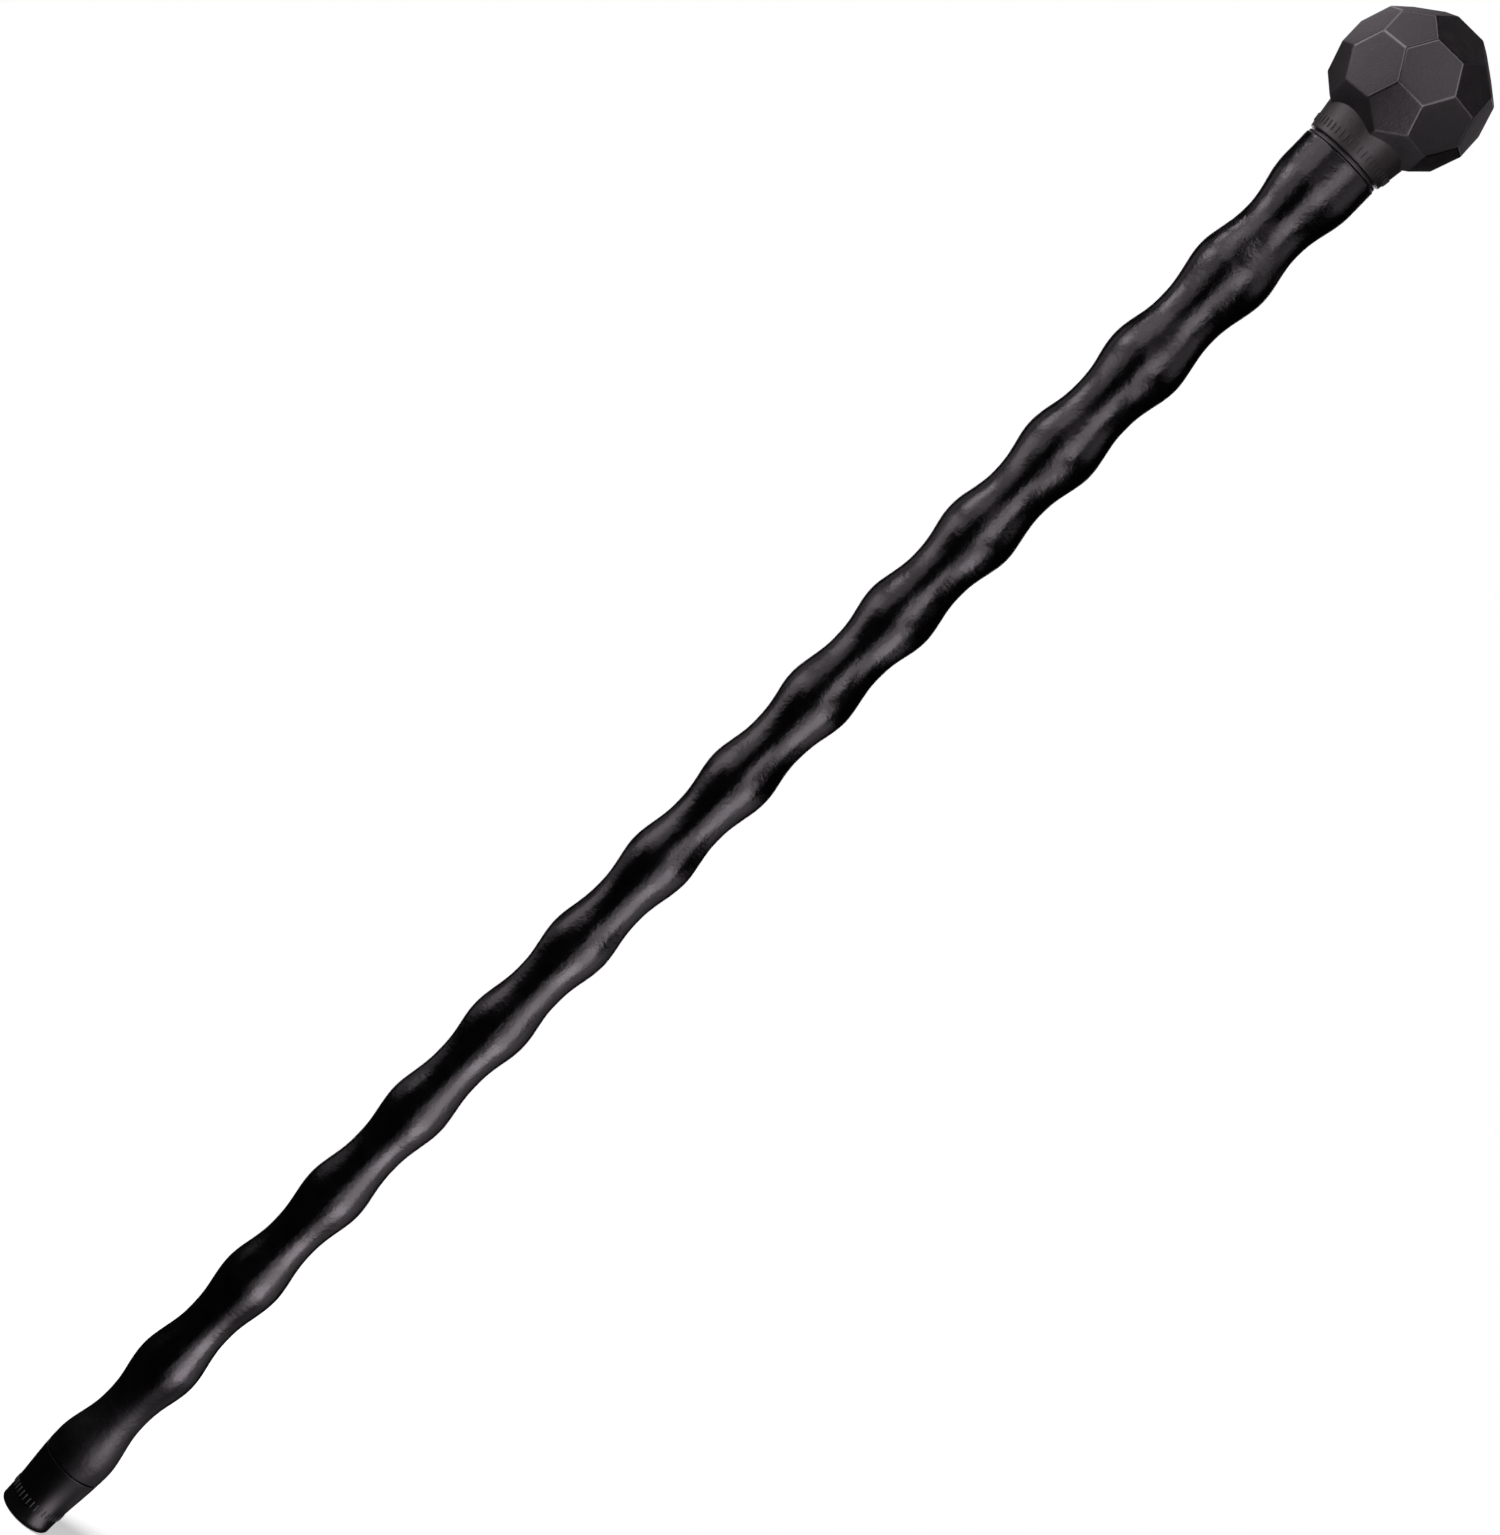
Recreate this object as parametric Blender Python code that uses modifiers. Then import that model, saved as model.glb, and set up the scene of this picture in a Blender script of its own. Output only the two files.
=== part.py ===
"""A knobbed walking stick: a beaded plastic shaft, a faceted head on a flared collar, and a rubber foot.

Metres, +Z up. The origin is the middle of the foot's ground face, and the stick stands on it.
The head screws off, carrying the thin neck ring up with it, and the foot pulls off downwards.
"""

import math

import bmesh
import bpy
from mathutils import Matrix

# Fits
SEAT_GAP = 0.0003

# Rubber ferrule
FERRULE_HEIGHT = 0.0336
FOOT_RADIUS = 0.01375
FOOT_ROUNDING = 0.0012
FERRULE_FLOOR = 0.008
TREAD_GROOVES = 2
TREAD_DEPTH = 0.001
TREAD_WIDTH = 0.0012
WASHER_THICKNESS = 0.002

# Shaft, from the foot up
SPIGOT_RADIUS = 0.0092
SPIGOT_CHAMFER = 0.001
FIRST_CREST_RISE = 0.0077
BEADS = 15
BEADED_LENGTH = 0.76
# Each rule below holds a value at four heights, evenly spaced from the first crest to the last
BEAD_SPACING = (1.06, 0.99, 0.942, 1.002)
CREST_RADII = (0.01605, 0.0151, 0.01695, 0.0194)
HOLLOW_RADII = (0.012, 0.01205, 0.0137, 0.01575)
BEAD_SHARPNESS = 1.25
LAST_HOLLOW_RISE = 0.0267
NECK_SWELL_RISE = 0.0262
NECK_RADIUS = 0.0202
NECK_LENGTH = 0.0152
NECK_EDGE = 0.0005

# Neck ring
RING_RADIUS = 0.0197
RING_THICKNESS = 0.0019

# Head: collar and faceted knob
COLLAR_RADIUS = 0.0207
COLLAR_FLARE = math.radians(8.4)
COLLAR_EDGE = 0.0008
KNOB_RADIUS = 0.0376
KNOB_RISE = 0.0415
KNOB_TURN = math.radians(20.3)
RIDGE_WIDTH = 0.0006

# Screw joint
STUD_RADIUS = 0.006
STUD_CHAMFER = 0.001
THREAD_PITCH = 0.00175
THREAD_TURNS = 8
INSERT_RADIUS = 0.009
KNOB_INSERT_LENGTH = 0.022
SHAFT_INSERT_LENGTH = 0.016

# Smoothness of the turned shapes
SIDES = 36
RINGS_PER_BEAD = 8
EDGE_STEPS = 3
MERGE_DISTANCE = 0.00005
SHARP_ANGLE = math.radians(30)

# Heights that follow from the sizes above
SHOULDER_Z = FERRULE_HEIGHT + SEAT_GAP
FIRST_CREST_Z = FERRULE_HEIGHT + FIRST_CREST_RISE
LAST_CREST_Z = FIRST_CREST_Z + BEADED_LENGTH
LAST_HOLLOW_Z = LAST_CREST_Z + LAST_HOLLOW_RISE
NECK_Z = LAST_HOLLOW_Z + NECK_SWELL_RISE
SHAFT_TOP_Z = NECK_Z + NECK_LENGTH
RING_Z = SHAFT_TOP_Z + SEAT_GAP
COLLAR_Z = RING_Z + RING_THICKNESS + SEAT_GAP
KNOB_Z = COLLAR_Z + KNOB_RISE
WASHER_Z = FERRULE_FLOOR + SEAT_GAP
SPIGOT_Z = WASHER_Z + WASHER_THICKNESS + SEAT_GAP


def clear_scene():
    for obj in list(bpy.data.objects):
        bpy.data.objects.remove(obj, do_unlink=True)


def new_collection(name):
    collection = bpy.data.collections.new(name)
    bpy.context.scene.collection.children.link(collection)
    return collection


def new_material(name, colour, roughness, metallic=0.0):
    material = bpy.data.materials.new(name)
    material.use_nodes = True
    shader = material.node_tree.nodes["Principled BSDF"]
    shader.inputs["Base Color"].default_value = (*colour, 1.0)
    shader.inputs["Roughness"].default_value = roughness
    shader.inputs["Metallic"].default_value = metallic
    return material


def new_object(name, mesh, height, collection, material=None, parent=None):
    """An object on the stick's axis, its origin at this height."""
    obj = bpy.data.objects.new(name, mesh)
    collection.objects.link(obj)
    obj.location.z = height
    if parent is not None:
        obj.parent = parent
        obj.location.z -= parent.location.z
    if material is not None:
        mesh.materials.append(material)
    return obj


def new_axis(name, height, collection):
    """An empty that carries the pieces of one moving body, on its joint's axis."""
    axis = bpy.data.objects.new(name, None)
    axis.empty_display_type = "SINGLE_ARROW"
    axis.empty_display_size = KNOB_RADIUS
    axis.location.z = height
    collection.objects.link(axis)
    return axis


def turned(name, profile, height, collection, material=None, parent=None):
    """A profile of (radius, height) points, running down the outer side, turned about Z.
    A profile that ends on the axis is solid; one that stays clear of it is closed into a tube."""
    points = [(radius, 0.0, z - height) for radius, z in profile]
    edges = [(i, (i + 1) % len(points)) for i in range(len(points))]
    if profile[0][0] == 0:
        edges.pop()
    mesh = bpy.data.meshes.new(name)
    mesh.from_pydata(points, edges, [])
    obj = new_object(name, mesh, height, collection, material, parent)
    screw = obj.modifiers.new("Turn", "SCREW")
    screw.axis = "Z"
    screw.angle = math.tau
    screw.steps = SIDES
    screw.render_steps = SIDES
    screw.use_merge_vertices = True
    screw.merge_threshold = MERGE_DISTANCE
    screw.use_smooth_shade = True
    return obj


def rounded_edge(radius, z, size):
    """The points of a quarter round of this size, from the wall down and in under the rim."""
    angles = [-math.pi / 2 * i / EDGE_STEPS for i in range(EDGE_STEPS + 1)]
    return [(radius + size * math.cos(a), z + size * math.sin(a)) for a in angles]


def ease(low, high, share):
    """A smooth S from low to high, level at both ends."""
    return low + (high - low) * (1 - math.cos(math.pi * share)) / 2


def through_stations(values, share):
    """The smooth curve through values that lie at even shares of a length, from 0 to 1."""
    last = len(values) - 1
    total = 0.0
    for i, value in enumerate(values):
        weight = 1.0
        for j in range(len(values)):
            if j != i:
                weight *= (share * last - j) / (i - j)
        total += value * weight
    return total


def crest_radius(z):
    return through_stations(CREST_RADII, (z - FIRST_CREST_Z) / BEADED_LENGTH)


def hollow_radius(z):
    return through_stations(HOLLOW_RADII, (z - FIRST_CREST_Z) / BEADED_LENGTH)


def bead_pitches():
    """The distances from crest to crest, going up, which share out the beaded length."""
    gaps = BEADS - 1
    spacing = [through_stations(BEAD_SPACING, i / (gaps - 1)) for i in range(gaps)]
    return [BEADED_LENGTH * share / sum(spacing) for share in spacing]


def foot_radius(z):
    """The outline from the foot's edge up to the first crest, which ferrule and shaft share."""
    share = (z - FOOT_ROUNDING) / (FIRST_CREST_Z - FOOT_ROUNDING)
    return ease(FOOT_RADIUS, crest_radius(FIRST_CREST_Z), share)


def bead_points():
    """The outline of the beads, from the first crest to the last hollow, going up."""
    points = []
    low = FIRST_CREST_Z
    for pitch in bead_pitches() + [2 * LAST_HOLLOW_RISE]:
        for step in range(RINGS_PER_BEAD):
            turn = step / RINGS_PER_BEAD
            z = low + pitch * turn
            if z < LAST_HOLLOW_Z:
                swell = ((1 + math.cos(math.tau * turn)) / 2) ** BEAD_SHARPNESS
                hollow = hollow_radius(z)
                points.append((hollow + (crest_radius(z) - hollow) * swell, z))
        low += pitch
    return points


def shaft_profile():
    """From the bottom of the insert's bore, up it, over the top and down the outside to the spigot."""
    bore = INSERT_RADIUS + SEAT_GAP
    bore_z = SHAFT_TOP_Z - SHAFT_INSERT_LENGTH - 2 * SEAT_GAP
    top = [
        (0.0, bore_z),
        (bore, bore_z),
        (bore, SHAFT_TOP_Z),
        (NECK_RADIUS - NECK_EDGE, SHAFT_TOP_Z),
        (NECK_RADIUS, SHAFT_TOP_Z - NECK_EDGE),
    ]
    low = hollow_radius(LAST_HOLLOW_Z)
    rings = RINGS_PER_BEAD // 2
    swell = [
        (ease(low, NECK_RADIUS, i / rings), LAST_HOLLOW_Z + NECK_SWELL_RISE * i / rings)
        for i in range(rings, -1, -1)
    ]
    seam = [
        (foot_radius(z), z)
        for z in (SHOULDER_Z + FIRST_CREST_RISE / 2, SHOULDER_Z)
    ]
    spigot = [
        (SPIGOT_RADIUS, SHOULDER_Z),
        (SPIGOT_RADIUS, SPIGOT_Z + SPIGOT_CHAMFER),
        (SPIGOT_RADIUS - SPIGOT_CHAMFER, SPIGOT_Z),
        (0.0, SPIGOT_Z),
    ]
    return top + swell + bead_points()[::-1] + seam + spigot


def ferrule_profile():
    """From the middle of the cup's floor, up its wall, over the rim, down the outside and under the tread."""
    bore = SPIGOT_RADIUS + SEAT_GAP
    cup = [(0.0, FERRULE_FLOOR), (bore, FERRULE_FLOOR), (bore, FERRULE_HEIGHT)]
    drop = (FERRULE_HEIGHT - FOOT_ROUNDING) / RINGS_PER_BEAD
    heights = [FERRULE_HEIGHT - drop * i for i in range(RINGS_PER_BEAD)]
    wall = [(foot_radius(z), z) for z in heights]
    flat = FOOT_RADIUS - FOOT_ROUNDING
    edge = rounded_edge(flat, FOOT_ROUNDING, FOOT_ROUNDING)
    land = (flat - TREAD_GROOVES * TREAD_WIDTH) / (TREAD_GROOVES + 1)
    tread = []
    radius = flat
    for _ in range(TREAD_GROOVES):
        radius -= land
        tread += [(radius, 0.0), (radius, TREAD_DEPTH)]
        radius -= TREAD_WIDTH
        tread += [(radius, TREAD_DEPTH), (radius, 0.0)]
    return cup + wall + edge + tread + [(0.0, 0.0)]


def tube_profile(inner, outer, low, height):
    return [(inner, low + height), (outer, low + height), (outer, low), (inner, low)]


def disc_profile(radius, low, height):
    return [(0.0, low + height), (radius, low + height), (radius, low), (0.0, low)]


def stud_profile(low, high):
    end = STUD_RADIUS - STUD_CHAMFER
    return [
        (0.0, high),
        (end, high),
        (STUD_RADIUS, high - STUD_CHAMFER),
        (STUD_RADIUS, low + STUD_CHAMFER),
        (end, low),
        (0.0, low),
    ]


def collar_profile():
    """The flared collar, carried on up inside the knob to its middle."""
    top_radius = COLLAR_RADIUS + KNOB_RISE * math.tan(COLLAR_FLARE)
    edge = rounded_edge(COLLAR_RADIUS - COLLAR_EDGE, COLLAR_Z + COLLAR_EDGE, COLLAR_EDGE)
    return [(0.0, KNOB_Z), (top_radius, KNOB_Z)] + edge + [(0.0, COLLAR_Z)]


def faceted_ball():
    """An icosahedron with its corners cut off a third of the way along each edge: 12 pentagons, 20 hexagons."""
    mesh = bpy.data.meshes.new("knob")
    ball = bmesh.new()
    bmesh.ops.create_icosphere(ball, subdivisions=1, radius=1.0)
    bmesh.ops.bevel(
        ball,
        geom=ball.verts[:],
        offset=100 / 3,
        offset_type="PERCENT",
        segments=1,
        affect="VERTICES",
    )
    size = KNOB_RADIUS / max(vertex.co.length for vertex in ball.verts)
    bmesh.ops.scale(ball, vec=(size, size, size), verts=ball.verts[:])
    turn = Matrix.Rotation(KNOB_TURN, 3, "Z")
    bmesh.ops.rotate(ball, cent=(0.0, 0.0, 0.0), matrix=turn, verts=ball.verts[:])
    ball.to_mesh(mesh)
    ball.free()
    mesh.shade_smooth()
    return mesh


def combine(obj, other, operation):
    """Joins the other shape to this object, or cuts it out, and leaves the other as a guide."""
    boolean = obj.modifiers.new(other.name, "BOOLEAN")
    boolean.operation = operation
    boolean.object = other
    boolean.solver = "EXACT"
    other.hide_render = True
    other.display_type = "WIRE"


def build_ferrule(parts, axis, rubber, steel):
    turned("ferrule", ferrule_profile(), 0.0, parts, rubber, axis)
    washer = disc_profile(SPIGOT_RADIUS, WASHER_Z, WASHER_THICKNESS)
    turned("ferrule_washer", washer, WASHER_Z, parts, steel, axis)


def build_shaft(parts, plastic, brass):
    turned("shaft", shaft_profile(), SHOULDER_Z, parts, plastic)
    low = SHAFT_TOP_Z - SEAT_GAP - SHAFT_INSERT_LENGTH
    insert = tube_profile(STUD_RADIUS + SEAT_GAP, INSERT_RADIUS, low, SHAFT_INSERT_LENGTH)
    turned("shaft_insert", insert, low, parts, brass)


def build_neck_ring(parts, axis, nylon):
    """A washer that the stud keeps in the middle of the neck."""
    ring = tube_profile(STUD_RADIUS + SEAT_GAP, RING_RADIUS, RING_Z, RING_THICKNESS)
    turned("neck_ring", ring, RING_Z, parts, nylon, axis)


def build_knob(parts, guides, axis, plastic):
    """The faceted ball, its edges bevelled into fine ridges, on its collar, bored for the insert."""
    knob = new_object("knob", faceted_ball(), KNOB_Z, parts, plastic, axis)
    ridges = knob.modifiers.new("Ridges", "BEVEL")
    ridges.width = RIDGE_WIDTH
    ridges.segments = 2
    ridges.limit_method = "ANGLE"
    ridges.angle_limit = SHARP_ANGLE
    combine(knob, turned("collar", collar_profile(), COLLAR_Z, guides, plastic), "UNION")
    bore_low = COLLAR_Z - COLLAR_EDGE
    bore_height = COLLAR_EDGE + KNOB_INSERT_LENGTH + 2 * SEAT_GAP
    bore = disc_profile(INSERT_RADIUS + SEAT_GAP, bore_low, bore_height)
    combine(knob, turned("collar_bore", bore, bore_low, guides), "DIFFERENCE")


def build_screw(parts, axis, steel, brass):
    """The stud, held in the knob's insert and turned down into the shaft's by all its turns of thread."""
    low = COLLAR_Z + SEAT_GAP
    insert = tube_profile(STUD_RADIUS + SEAT_GAP, INSERT_RADIUS, low, KNOB_INSERT_LENGTH)
    turned("knob_insert", insert, low, parts, brass, axis)
    stud_low = SHAFT_TOP_Z - THREAD_PITCH * THREAD_TURNS
    turned("stud", stud_profile(stud_low, low + KNOB_INSERT_LENGTH), stud_low, parts, steel, axis)


def keep_flats_flat(parts):
    """The round walls are shaded smooth, and the larger flat faces beside them stay flat up to the rim."""
    for obj in parts.objects:
        if obj.type == "MESH":
            obj.modifiers.new("Normals", "WEIGHTED_NORMAL")


def main():
    clear_scene()
    parts = new_collection("knobbed_walking_stick")
    guides = new_collection("cutters")
    plastic = new_material("black_polypropylene", (0.012, 0.012, 0.013), 0.32)
    matt_plastic = new_material("matt_black_polypropylene", (0.04, 0.04, 0.042), 0.5)
    nylon = new_material("black_nylon", (0.02, 0.02, 0.02), 0.45)
    rubber = new_material("black_rubber", (0.014, 0.014, 0.015), 0.45)
    steel = new_material("zinc_plated_steel", (0.55, 0.56, 0.58), 0.35, 1.0)
    brass = new_material("brass", (0.72, 0.52, 0.24), 0.3, 1.0)

    ferrule_axis = new_axis("ferrule_axis", 0.0, parts)
    ring_axis = new_axis("ring_axis", RING_Z, parts)
    knob_axis = new_axis("knob_axis", COLLAR_Z, parts)
    build_ferrule(parts, ferrule_axis, rubber, steel)
    build_shaft(parts, plastic, brass)
    build_neck_ring(parts, ring_axis, nylon)
    build_knob(parts, guides, knob_axis, matt_plastic)
    build_screw(parts, knob_axis, steel, brass)
    keep_flats_flat(parts)


main()
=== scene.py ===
import math

import bmesh
import bpy
from mathutils import Matrix, Vector, noise


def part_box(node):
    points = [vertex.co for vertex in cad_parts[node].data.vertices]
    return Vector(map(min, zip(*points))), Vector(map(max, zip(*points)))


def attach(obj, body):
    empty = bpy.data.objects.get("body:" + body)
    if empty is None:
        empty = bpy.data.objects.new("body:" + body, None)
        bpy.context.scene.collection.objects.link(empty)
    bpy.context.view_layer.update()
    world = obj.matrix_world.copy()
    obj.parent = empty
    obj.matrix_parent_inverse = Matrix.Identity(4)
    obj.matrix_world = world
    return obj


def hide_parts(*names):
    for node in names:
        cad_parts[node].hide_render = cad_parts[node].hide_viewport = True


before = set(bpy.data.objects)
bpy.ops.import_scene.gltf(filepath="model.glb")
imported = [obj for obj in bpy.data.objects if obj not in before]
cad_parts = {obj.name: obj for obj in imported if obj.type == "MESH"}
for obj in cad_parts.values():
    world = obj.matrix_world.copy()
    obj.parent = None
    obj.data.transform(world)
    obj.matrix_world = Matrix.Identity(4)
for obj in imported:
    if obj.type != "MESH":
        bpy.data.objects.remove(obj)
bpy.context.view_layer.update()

# Shaft
# One long moulding of black polypropylene: fifteen ring-like beads, a plain neck under the head, and a
# spigot that the foot is pushed over. A small relief over the foot shows as a dark seam.
BEADS = 15
FIRST_CREST_RISE = 0.0077
BEADED_LENGTH = 0.76
# At even stations from the first crest to the last: the beads' lengths in proportion, and their radii
BEAD_SPACING = (1.06, 0.99, 0.942, 1.002)
CREST_RADII = (0.01605, 0.0151, 0.01695, 0.0194)
HOLLOW_RADII = (0.012, 0.01205, 0.0137, 0.01575)
BEAD_SHARPNESS = 1.25
LAST_HOLLOW_RISE = 0.0267
NECK_SWELL_RISE = 0.0262
NECK_EDGE = 0.0006
RELIEF_DEPTH = 0.0012
RELIEF_HEIGHT = 0.0007
SPIGOT_RADIUS = 0.0092
SPIGOT_CHAMFER = 0.001
FOOT_RADIUS = 0.01375
FOOT_ROUNDING = 0.0012
SEAT_GAP = 0.0003
SHAFT_SIDES = 144
RING_STEP = 0.0013
EDGE_STEPS = 4
SHARP_ANGLE = math.radians(35)

foot_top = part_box("ferrule")[1].z
shoulder = foot_top + SEAT_GAP
spigot_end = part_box("shaft")[0].z
shaft_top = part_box("shaft")[1].z
neck_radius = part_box("shaft")[1].x
first_crest = foot_top + FIRST_CREST_RISE
last_hollow = first_crest + BEADED_LENGTH + LAST_HOLLOW_RISE
neck = last_hollow + NECK_SWELL_RISE
insert_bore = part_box("shaft_insert")[1].x + SEAT_GAP
insert_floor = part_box("shaft_insert")[0].z - SEAT_GAP


def ease(low, high, share):
    """A smooth S from low to high, level at both ends."""
    return low + (high - low) * (1 - math.cos(math.pi * share)) / 2


def through_stations(values, share):
    """The smooth curve through values that lie at even shares of a length, from 0 to 1."""
    last = len(values) - 1
    total = 0.0
    for i, value in enumerate(values):
        weight = 1.0
        for j in range(len(values)):
            if j != i:
                weight *= (share * last - j) / (i - j)
        total += value * weight
    return total


def crest_radius(z):
    return through_stations(CREST_RADII, (z - first_crest) / BEADED_LENGTH)


def hollow_radius(z):
    return through_stations(HOLLOW_RADII, (z - first_crest) / BEADED_LENGTH)


def foot_radius(z):
    """The outline from the foot's edge up to the first crest, which foot and shaft share."""
    share = (z - FOOT_ROUNDING) / (first_crest - FOOT_ROUNDING)
    return ease(FOOT_RADIUS, crest_radius(first_crest), share)


def bead_crests():
    """The heights of the crests, and of the one that would follow if the neck didn't."""
    gaps = BEADS - 1
    spacing = [through_stations(BEAD_SPACING, i / (gaps - 1)) for i in range(gaps)]
    heights = [first_crest]
    for share in spacing:
        heights.append(heights[-1] + BEADED_LENGTH * share / sum(spacing))
    return heights + [heights[-1] + 2 * LAST_HOLLOW_RISE]


def shaft_radius(z, crests):
    if z < first_crest:
        return foot_radius(z)
    if z > neck:
        return neck_radius
    if z > last_hollow:
        return ease(hollow_radius(last_hollow), neck_radius, (z - last_hollow) / NECK_SWELL_RISE)
    low = max(i for i in range(BEADS) if crests[i] <= z)
    turn = (z - crests[low]) / (crests[low + 1] - crests[low])
    swell = ((1 + math.cos(math.tau * turn)) / 2) ** BEAD_SHARPNESS
    hollow = hollow_radius(z)
    return hollow + (crest_radius(z) - hollow) * swell


def quarter_round(radius, z, size, start):
    """The points of a quarter round about this centre, from the start angle clockwise."""
    angles = [start - math.pi / 2 * i / EDGE_STEPS for i in range(EDGE_STEPS + 1)]
    return [(radius + size * math.cos(a), z + size * math.sin(a)) for a in angles]


def shaft_outline():
    """From the floor of the insert's bore up, over the top, and down the outside to the spigot's end."""
    top = [(0.0, insert_floor), (insert_bore, insert_floor), (insert_bore, shaft_top)]
    top += quarter_round(neck_radius - NECK_EDGE, shaft_top - NECK_EDGE, NECK_EDGE, math.pi / 2)
    crests = bead_crests()
    rings = round((shaft_top - NECK_EDGE - shoulder) / RING_STEP)
    step = (shaft_top - NECK_EDGE - shoulder) / rings
    heights = [shaft_top - NECK_EDGE - step * i for i in range(1, rings)]
    wall = [(shaft_radius(z, crests), z) for z in heights]
    rim = shaft_radius(shoulder, crests)
    relief_top = shoulder + RELIEF_HEIGHT
    edge = [(rim, relief_top), (rim - RELIEF_DEPTH, relief_top), (rim - RELIEF_DEPTH, shoulder)]
    spigot = [
        (SPIGOT_RADIUS, shoulder),
        (SPIGOT_RADIUS, spigot_end + SPIGOT_CHAMFER),
        (SPIGOT_RADIUS - SPIGOT_CHAMFER, spigot_end),
        (0.0, spigot_end),
    ]
    return top + wall + edge + spigot


def turned(name, outline, sides):
    """A body turned about the stick's axis from (radius, height) points, running down its outer side.
    An outline that ends on the axis is solid; one that stays clear of it is closed into a tube."""
    points = []
    rings = []
    for radius, z in outline:
        count = sides if radius > 0 else 1
        rings.append(range(len(points), len(points) + count))
        for i in range(count):
            angle = math.tau * i / sides
            points.append((radius * math.cos(angle), radius * math.sin(angle), z))
    pairs = list(zip(rings, rings[1:]))
    if outline[0][0] > 0:
        pairs.append((rings[-1], rings[0]))
    faces = []
    for upper, lower in pairs:
        for i in range(sides):
            after = (i + 1) % sides
            corners = [
                upper[i % len(upper)],
                lower[i % len(lower)],
                lower[after % len(lower)],
                upper[after % len(upper)],
            ]
            faces.append(list(dict.fromkeys(corners)))
    mesh = bpy.data.meshes.new(name)
    mesh.from_pydata(points, [], faces)
    mesh.validate()
    mesh.shade_smooth()
    mesh.set_sharp_from_angle(angle=SHARP_ANGLE)
    obj = bpy.data.objects.new(name, mesh)
    bpy.context.scene.collection.objects.link(obj)
    return obj


# The mould was polished by hand, so the wall swells and sinks by about a tenth of a millimetre. There
# are two kinds of swell, each with a size and a depth, drawn out along the stick.
SWELLS = ((0.014, 0.00013), (0.0055, 0.00007))
SWELL_WIDTH_TO_LENGTH = 0.6
SWELL_FADE = 0.006


def swell_wall(obj, low, high):
    """Moves the wall between two heights in and out, and fades this out toward both."""
    for vertex in obj.data.vertices:
        x, y, z = vertex.co
        radius = math.hypot(x, y)
        if radius > SPIGOT_RADIUS + SEAT_GAP and low < z < high:
            fade = min(1.0, (z - low) / SWELL_FADE, (high - z) / SWELL_FADE)
            shift = 0.0
            for length, depth in SWELLS:
                shift += depth * noise.noise(Vector((x, y, z * SWELL_WIDTH_TO_LENGTH)) / length)
            grown = 1 + shift * fade / radius
            vertex.co.x *= grown
            vertex.co.y *= grown


def linear(hex_code):
    """An sRGB colour code, such as "#1f2022", as the linear values that a shader takes."""
    values = [int(hex_code[i:i + 2], 16) / 255 for i in (1, 3, 5)]
    return (*[v / 12.92 if v <= 0.04045 else ((v + 0.055) / 1.055) ** 2.4 for v in values], 1.0)


def add_node(tree, kind, inputs=None, **settings):
    """Adds a node with its settings. Each input takes a value, or another node's output to link."""
    node = tree.nodes.new(kind)
    for name, value in settings.items():
        setattr(node, name, value)
    for name, value in (inputs or {}).items():
        if isinstance(value, bpy.types.NodeSocket):
            tree.links.new(value, node.inputs[name])
        else:
            node.inputs[name].default_value = value
    return node


def new_material(name):
    material = bpy.data.materials.new(name)
    material.use_nodes = True
    return material, material.node_tree, material.node_tree.nodes["Principled BSDF"]


def per_mm(size):
    """The scale of a texture whose features are this many millimetres across."""
    return 1000 / size


# Polypropylene moulded in a polished mould: a soft wax-like gloss, broken by cloudy patches of 9 mm and
# by an orange-peel, which shows as a mottle where a light is mirrored in it. The real peel is too fine
# to show here, so it is drawn 2.4 mm across. Below the second bead, grit has dulled the gloss.
PEEL_DEPTH = 0.0002
SCUFFED_UP_TO = 0.07
GLOSSY_FROM = 0.095

moulded_polypropylene, tree, shader = new_material("moulded_polypropylene")
place = add_node(tree, "ShaderNodeTexCoord").outputs["Object"]
clouds = add_node(
    tree,
    "ShaderNodeTexNoise",
    {"Vector": place, "Scale": per_mm(9), "Detail": 4.0, "Roughness": 0.6},
)
peel = add_node(
    tree,
    "ShaderNodeTexNoise",
    {"Vector": place, "Scale": per_mm(2.4), "Detail": 3.0, "Roughness": 0.6},
)
tone = add_node(tree, "ShaderNodeValToRGB", {"Fac": clouds.outputs["Fac"]})
tone.color_ramp.elements[0].position = 0.3
tone.color_ramp.elements[0].color = linear("#020202")
tone.color_ramp.elements[1].position = 0.7
tone.color_ramp.elements[1].color = linear("#060607")
gloss = add_node(
    tree,
    "ShaderNodeMapRange",
    {"Value": clouds.outputs["Fac"], "From Min": 0.3, "From Max": 0.7, "To Min": 0.16, "To Max": 0.23},
)
height = add_node(tree, "ShaderNodeSeparateXYZ", {"Vector": place}).outputs["Z"]
scuffs = add_node(
    tree,
    "ShaderNodeMapRange",
    {"Value": height, "From Min": SCUFFED_UP_TO, "From Max": GLOSSY_FROM, "To Min": 0.24, "To Max": 0.0},
)
dulled = add_node(
    tree,
    "ShaderNodeMath",
    {0: gloss.outputs["Result"], 1: scuffs.outputs["Result"]},
    operation="ADD",
)
grain = add_node(
    tree,
    "ShaderNodeBump",
    {"Height": peel.outputs["Fac"], "Strength": 1.0, "Distance": PEEL_DEPTH},
)
tree.links.new(tone.outputs["Color"], shader.inputs["Base Color"])
tree.links.new(dulled.outputs["Value"], shader.inputs["Roughness"])
tree.links.new(grain.outputs["Normal"], shader.inputs["Normal"])
shader.inputs["IOR"].default_value = 1.49

shaft = turned("beaded_shaft", shaft_outline(), SHAFT_SIDES)
swell_wall(shaft, shoulder, shaft_top)
shaft.data.materials.append(moulded_polypropylene)
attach(shaft, "shaft")
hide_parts("shaft")

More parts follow.
